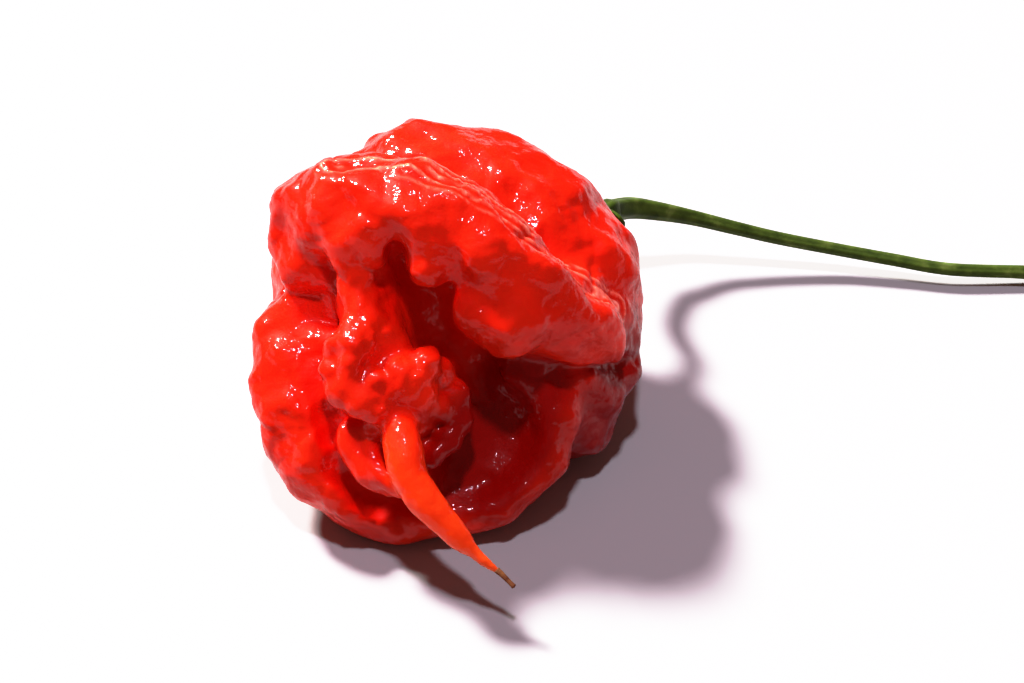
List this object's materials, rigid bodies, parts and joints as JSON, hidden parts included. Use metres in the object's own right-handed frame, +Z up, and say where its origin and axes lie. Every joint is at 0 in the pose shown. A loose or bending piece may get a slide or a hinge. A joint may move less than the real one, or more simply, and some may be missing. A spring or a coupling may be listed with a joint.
{
  "type": "chilli pepper",
  "caption": "Wrinkled red chilli pod with deep folds, a curved tail at the blossom end, a green star calyx and a slim curved stem, lying as picked.",
  "frame": {"origin": "on the surface the pod lies on, at the middle of the flat spot that it rests on", "axes": "+Z up, +X along the stem, -Y the side that the blossom end and the tail face"},
  "size_m": [0.0963, 0.0564, 0.0359],
  "materials": {
    "pod_skin": "waxy glossy ripe skin, deep red with lighter orange red where it is thin",
    "calyx_green": "satin green leaf skin, darker towards its teeth",
    "stem_green": "satin green stalk with faint ridges along it",
    "dry_style": "dull dry brown"
  },
  "bodies": {
    "root": {"pod": "pod_skin", "calyx": "calyx_green", "stem": "stem_green", "style_stub": "dry_style"}
  },
  "joints": []
}
